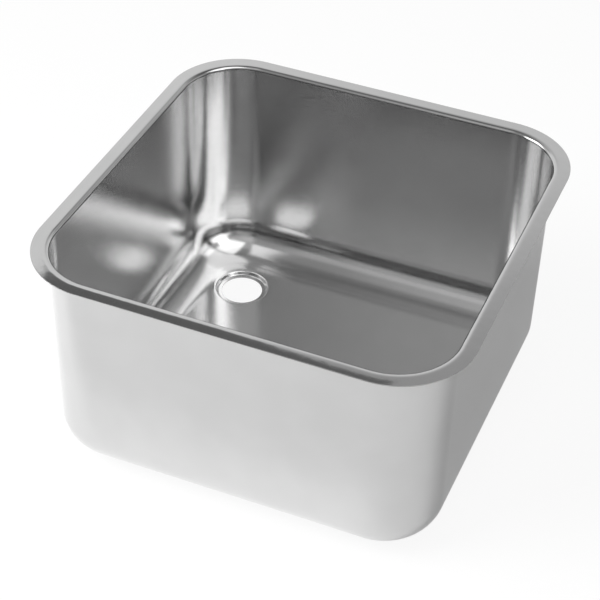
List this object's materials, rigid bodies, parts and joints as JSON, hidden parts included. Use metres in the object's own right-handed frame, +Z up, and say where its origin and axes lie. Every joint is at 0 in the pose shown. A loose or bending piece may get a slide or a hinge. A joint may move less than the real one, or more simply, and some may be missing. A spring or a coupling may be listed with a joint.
{
  "type": "undermount kitchen sink",
  "caption": "Square undermount sink: a deep-drawn steel bowl with a flat flange, a rolled top bend, coved base and a recessed waste hole in the back left corner.",
  "frame": {"origin": "centre of the bowl's outline, at the height of the lowest point, the underside of the waste recess", "axes": "+Z up, out of the bowl's mouth; +Y towards the back, where the waste and the earth tag are; +X to the right"},
  "size_m": [0.48, 0.48, 0.2701],
  "materials": {
    "steel": "satin, finely brushed stainless steel",
    "pad": "matt dark damping pad",
    "tag": "plain stainless strip",
    "screw": "turned brass",
    "washers": "stamped brass",
    "nut": "turned brass"
  },
  "bodies": {
    "root": {"bowl": "steel", "sound_pad": "pad", "earth_tag": "tag", "earth_screw": "screw", "earth_washers": "washers", "earth_nut": "nut"}
  },
  "joints": []
}
